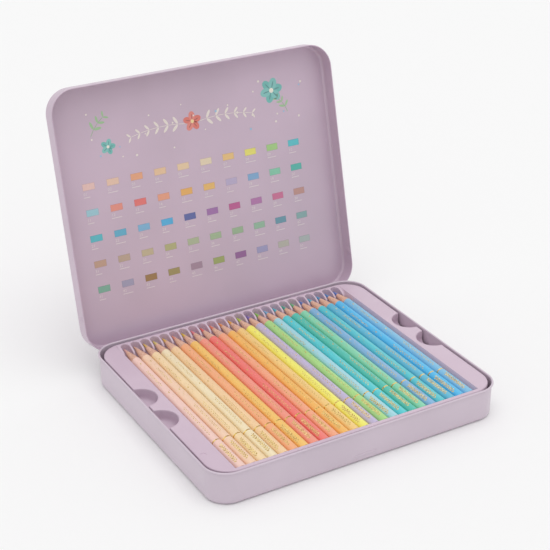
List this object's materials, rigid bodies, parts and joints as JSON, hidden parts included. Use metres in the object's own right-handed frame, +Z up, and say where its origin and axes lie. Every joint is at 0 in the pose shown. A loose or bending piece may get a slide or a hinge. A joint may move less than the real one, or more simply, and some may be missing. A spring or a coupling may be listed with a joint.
{
  "type": "colored pencil box",
  "caption": "Hinged rectangular tin with rounded corners and an open lid, holding colored pencils side by side in lift-out trays.",
  "frame": {"origin": "middle of the tin's underside, on the surface it stands on", "axes": "+X along the front edge to the right, +Y from the front to the hinge side, +Z up"},
  "size_m": [0.2256, 0.2439, 0.2029],
  "materials": {
    "lilac_tinplate": "satin lacquer on tinplate",
    "lilac_tray": "satin thermoformed sheet",
    "upper_lacquer_01": "satin lacquer on wood",
    "upper_lacquer_02": "satin lacquer on wood",
    "upper_lacquer_03": "satin lacquer on wood",
    "upper_lacquer_04": "satin lacquer on wood",
    "upper_lacquer_05": "satin lacquer on wood",
    "upper_lacquer_06": "satin lacquer on wood",
    "upper_lacquer_07": "satin lacquer on wood",
    "upper_lacquer_08": "satin lacquer on wood",
    "upper_lacquer_09": "satin lacquer on wood",
    "upper_lacquer_10": "satin lacquer on wood",
    "upper_lacquer_11": "satin lacquer on wood",
    "upper_lacquer_12": "satin lacquer on wood",
    "upper_lacquer_13": "satin lacquer on wood",
    "upper_lacquer_14": "satin lacquer on wood",
    "upper_lacquer_15": "satin lacquer on wood",
    "upper_lacquer_16": "satin lacquer on wood",
    "upper_lacquer_17": "satin lacquer on wood",
    "upper_lacquer_18": "satin lacquer on wood",
    "upper_lacquer_19": "satin lacquer on wood",
    "upper_lacquer_20": "satin lacquer on wood",
    "upper_lacquer_21": "satin lacquer on wood",
    "upper_lacquer_22": "satin lacquer on wood",
    "upper_lacquer_23": "satin lacquer on wood",
    "upper_lacquer_24": "satin lacquer on wood",
    "lower_lacquer_01": "satin lacquer on wood",
    "lower_lacquer_02": "satin lacquer on wood",
    "lower_lacquer_03": "satin lacquer on wood",
    "lower_lacquer_04": "satin lacquer on wood",
    "lower_lacquer_05": "satin lacquer on wood",
    "lower_lacquer_06": "satin lacquer on wood",
    "lower_lacquer_07": "satin lacquer on wood",
    "lower_lacquer_08": "satin lacquer on wood",
    "lower_lacquer_09": "satin lacquer on wood",
    "lower_lacquer_10": "satin lacquer on wood",
    "lower_lacquer_11": "satin lacquer on wood",
    "lower_lacquer_12": "satin lacquer on wood",
    "lower_lacquer_13": "satin lacquer on wood",
    "lower_lacquer_14": "satin lacquer on wood",
    "lower_lacquer_15": "satin lacquer on wood",
    "lower_lacquer_16": "satin lacquer on wood",
    "lower_lacquer_17": "satin lacquer on wood",
    "lower_lacquer_18": "satin lacquer on wood",
    "lower_lacquer_19": "satin lacquer on wood",
    "lower_lacquer_20": "satin lacquer on wood",
    "lower_lacquer_21": "satin lacquer on wood",
    "lower_lacquer_22": "satin lacquer on wood",
    "lower_lacquer_23": "satin lacquer on wood",
    "lower_lacquer_24": "satin lacquer on wood",
    "lower_lacquer_25": "satin lacquer on wood",
    "lower_lacquer_26": "satin lacquer on wood"
  },
  "bodies": {
    "base": {"base_tin": "lilac_tinplate"},
    "lid": {"lid_tin": "lilac_tinplate"},
    "upper_tray": {"upper_tray": "lilac_tray"},
    "lower_tray": {"lower_tray": "lilac_tray"},
    "lower_pencils": {"lower_pencil_01": "lower_lacquer_01", "lower_pencil_02": "lower_lacquer_02", "lower_pencil_03": "lower_lacquer_03", "lower_pencil_04": "lower_lacquer_04", "lower_pencil_05": "lower_lacquer_05", "lower_pencil_06": "lower_lacquer_06", "lower_pencil_07": "lower_lacquer_07", "lower_pencil_08": "lower_lacquer_08", "lower_pencil_09": "lower_lacquer_09", "lower_pencil_10": "lower_lacquer_10", "lower_pencil_11": "lower_lacquer_11", "lower_pencil_12": "lower_lacquer_12", "lower_pencil_13": "lower_lacquer_13", "lower_pencil_14": "lower_lacquer_14", "lower_pencil_15": "lower_lacquer_15", "lower_pencil_16": "lower_lacquer_16", "lower_pencil_17": "lower_lacquer_17", "lower_pencil_18": "lower_lacquer_18", "lower_pencil_19": "lower_lacquer_19", "lower_pencil_20": "lower_lacquer_20", "lower_pencil_21": "lower_lacquer_21", "lower_pencil_22": "lower_lacquer_22", "lower_pencil_23": "lower_lacquer_23", "lower_pencil_24": "lower_lacquer_24", "lower_pencil_25": "lower_lacquer_25", "lower_pencil_26": "lower_lacquer_26"},
    "upper_pencil_01": {"upper_pencil_01": "upper_lacquer_01"},
    "upper_pencil_02": {"upper_pencil_02": "upper_lacquer_02"},
    "upper_pencil_03": {"upper_pencil_03": "upper_lacquer_03"},
    "upper_pencil_04": {"upper_pencil_04": "upper_lacquer_04"},
    "upper_pencil_05": {"upper_pencil_05": "upper_lacquer_05"},
    "upper_pencil_06": {"upper_pencil_06": "upper_lacquer_06"},
    "upper_pencil_07": {"upper_pencil_07": "upper_lacquer_07"},
    "upper_pencil_08": {"upper_pencil_08": "upper_lacquer_08"},
    "upper_pencil_09": {"upper_pencil_09": "upper_lacquer_09"},
    "upper_pencil_10": {"upper_pencil_10": "upper_lacquer_10"},
    "upper_pencil_11": {"upper_pencil_11": "upper_lacquer_11"},
    "upper_pencil_12": {"upper_pencil_12": "upper_lacquer_12"},
    "upper_pencil_13": {"upper_pencil_13": "upper_lacquer_13"},
    "upper_pencil_14": {"upper_pencil_14": "upper_lacquer_14"},
    "upper_pencil_15": {"upper_pencil_15": "upper_lacquer_15"},
    "upper_pencil_16": {"upper_pencil_16": "upper_lacquer_16"},
    "upper_pencil_17": {"upper_pencil_17": "upper_lacquer_17"},
    "upper_pencil_18": {"upper_pencil_18": "upper_lacquer_18"},
    "upper_pencil_19": {"upper_pencil_19": "upper_lacquer_19"},
    "upper_pencil_20": {"upper_pencil_20": "upper_lacquer_20"},
    "upper_pencil_21": {"upper_pencil_21": "upper_lacquer_21"},
    "upper_pencil_22": {"upper_pencil_22": "upper_lacquer_22"},
    "upper_pencil_23": {"upper_pencil_23": "upper_lacquer_23"},
    "upper_pencil_24": {"upper_pencil_24": "upper_lacquer_24"}
  },
  "joints": [
    {"name": "lid_hinge", "type": "hinge", "parent": "base", "child": "lid", "pos_m": [0, 0.09275, 0.02075], "axis": [-1, 0, 0], "range_deg": [-103.6, 0]},
    {"name": "upper_tray_lift", "type": "slide", "parent": "base", "child": "upper_tray", "axis": [0, 0, 1], "range_m": [0, 0.08]},
    {"name": "lower_tray_lift", "type": "slide", "parent": "base", "child": "lower_tray", "axis": [0, 0, 1], "range_m": [0, 0.04]},
    {"name": "lower_pencils_lift", "type": "slide", "parent": "lower_tray", "child": "lower_pencils", "axis": [0, 0, 1], "range_m": [0, 0.02]},
    {"name": "upper_pencil_01_lift", "type": "slide", "parent": "upper_tray", "child": "upper_pencil_01", "axis": [0, 0, 1], "range_m": [0, 0.03]},
    {"name": "upper_pencil_02_lift", "type": "slide", "parent": "upper_tray", "child": "upper_pencil_02", "axis": [0, 0, 1], "range_m": [0, 0.03]},
    {"name": "upper_pencil_03_lift", "type": "slide", "parent": "upper_tray", "child": "upper_pencil_03", "axis": [0, 0, 1], "range_m": [0, 0.03]},
    {"name": "upper_pencil_04_lift", "type": "slide", "parent": "upper_tray", "child": "upper_pencil_04", "axis": [0, 0, 1], "range_m": [0, 0.03]},
    {"name": "upper_pencil_05_lift", "type": "slide", "parent": "upper_tray", "child": "upper_pencil_05", "axis": [0, 0, 1], "range_m": [0, 0.03]},
    {"name": "upper_pencil_06_lift", "type": "slide", "parent": "upper_tray", "child": "upper_pencil_06", "axis": [0, 0, 1], "range_m": [0, 0.03]},
    {"name": "upper_pencil_07_lift", "type": "slide", "parent": "upper_tray", "child": "upper_pencil_07", "axis": [0, 0, 1], "range_m": [0, 0.03]},
    {"name": "upper_pencil_08_lift", "type": "slide", "parent": "upper_tray", "child": "upper_pencil_08", "axis": [0, 0, 1], "range_m": [0, 0.03]},
    {"name": "upper_pencil_09_lift", "type": "slide", "parent": "upper_tray", "child": "upper_pencil_09", "axis": [0, 0, 1], "range_m": [0, 0.03]},
    {"name": "upper_pencil_10_lift", "type": "slide", "parent": "upper_tray", "child": "upper_pencil_10", "axis": [0, 0, 1], "range_m": [0, 0.03]},
    {"name": "upper_pencil_11_lift", "type": "slide", "parent": "upper_tray", "child": "upper_pencil_11", "axis": [0, 0, 1], "range_m": [0, 0.03]},
    {"name": "upper_pencil_12_lift", "type": "slide", "parent": "upper_tray", "child": "upper_pencil_12", "axis": [0, 0, 1], "range_m": [0, 0.03]},
    {"name": "upper_pencil_13_lift", "type": "slide", "parent": "upper_tray", "child": "upper_pencil_13", "axis": [0, 0, 1], "range_m": [0, 0.03]},
    {"name": "upper_pencil_14_lift", "type": "slide", "parent": "upper_tray", "child": "upper_pencil_14", "axis": [0, 0, 1], "range_m": [0, 0.03]},
    {"name": "upper_pencil_15_lift", "type": "slide", "parent": "upper_tray", "child": "upper_pencil_15", "axis": [0, 0, 1], "range_m": [0, 0.03]},
    {"name": "upper_pencil_16_lift", "type": "slide", "parent": "upper_tray", "child": "upper_pencil_16", "axis": [0, 0, 1], "range_m": [0, 0.03]},
    {"name": "upper_pencil_17_lift", "type": "slide", "parent": "upper_tray", "child": "upper_pencil_17", "axis": [0, 0, 1], "range_m": [0, 0.03]},
    {"name": "upper_pencil_18_lift", "type": "slide", "parent": "upper_tray", "child": "upper_pencil_18", "axis": [0, 0, 1], "range_m": [0, 0.03]},
    {"name": "upper_pencil_19_lift", "type": "slide", "parent": "upper_tray", "child": "upper_pencil_19", "axis": [0, 0, 1], "range_m": [0, 0.03]},
    {"name": "upper_pencil_20_lift", "type": "slide", "parent": "upper_tray", "child": "upper_pencil_20", "axis": [0, 0, 1], "range_m": [0, 0.03]},
    {"name": "upper_pencil_21_lift", "type": "slide", "parent": "upper_tray", "child": "upper_pencil_21", "axis": [0, 0, 1], "range_m": [0, 0.03]},
    {"name": "upper_pencil_22_lift", "type": "slide", "parent": "upper_tray", "child": "upper_pencil_22", "axis": [0, 0, 1], "range_m": [0, 0.03]},
    {"name": "upper_pencil_23_lift", "type": "slide", "parent": "upper_tray", "child": "upper_pencil_23", "axis": [0, 0, 1], "range_m": [0, 0.03]},
    {"name": "upper_pencil_24_lift", "type": "slide", "parent": "upper_tray", "child": "upper_pencil_24", "axis": [0, 0, 1], "range_m": [0, 0.03]}
  ],
  "couplings": [
    {"joint": "lower_tray_lift", "follows": "upper_tray_lift", "ratio": 0.5},
    {"joint": "lower_pencils_lift", "follows": "upper_tray_lift", "ratio": 0.25}
  ]
}
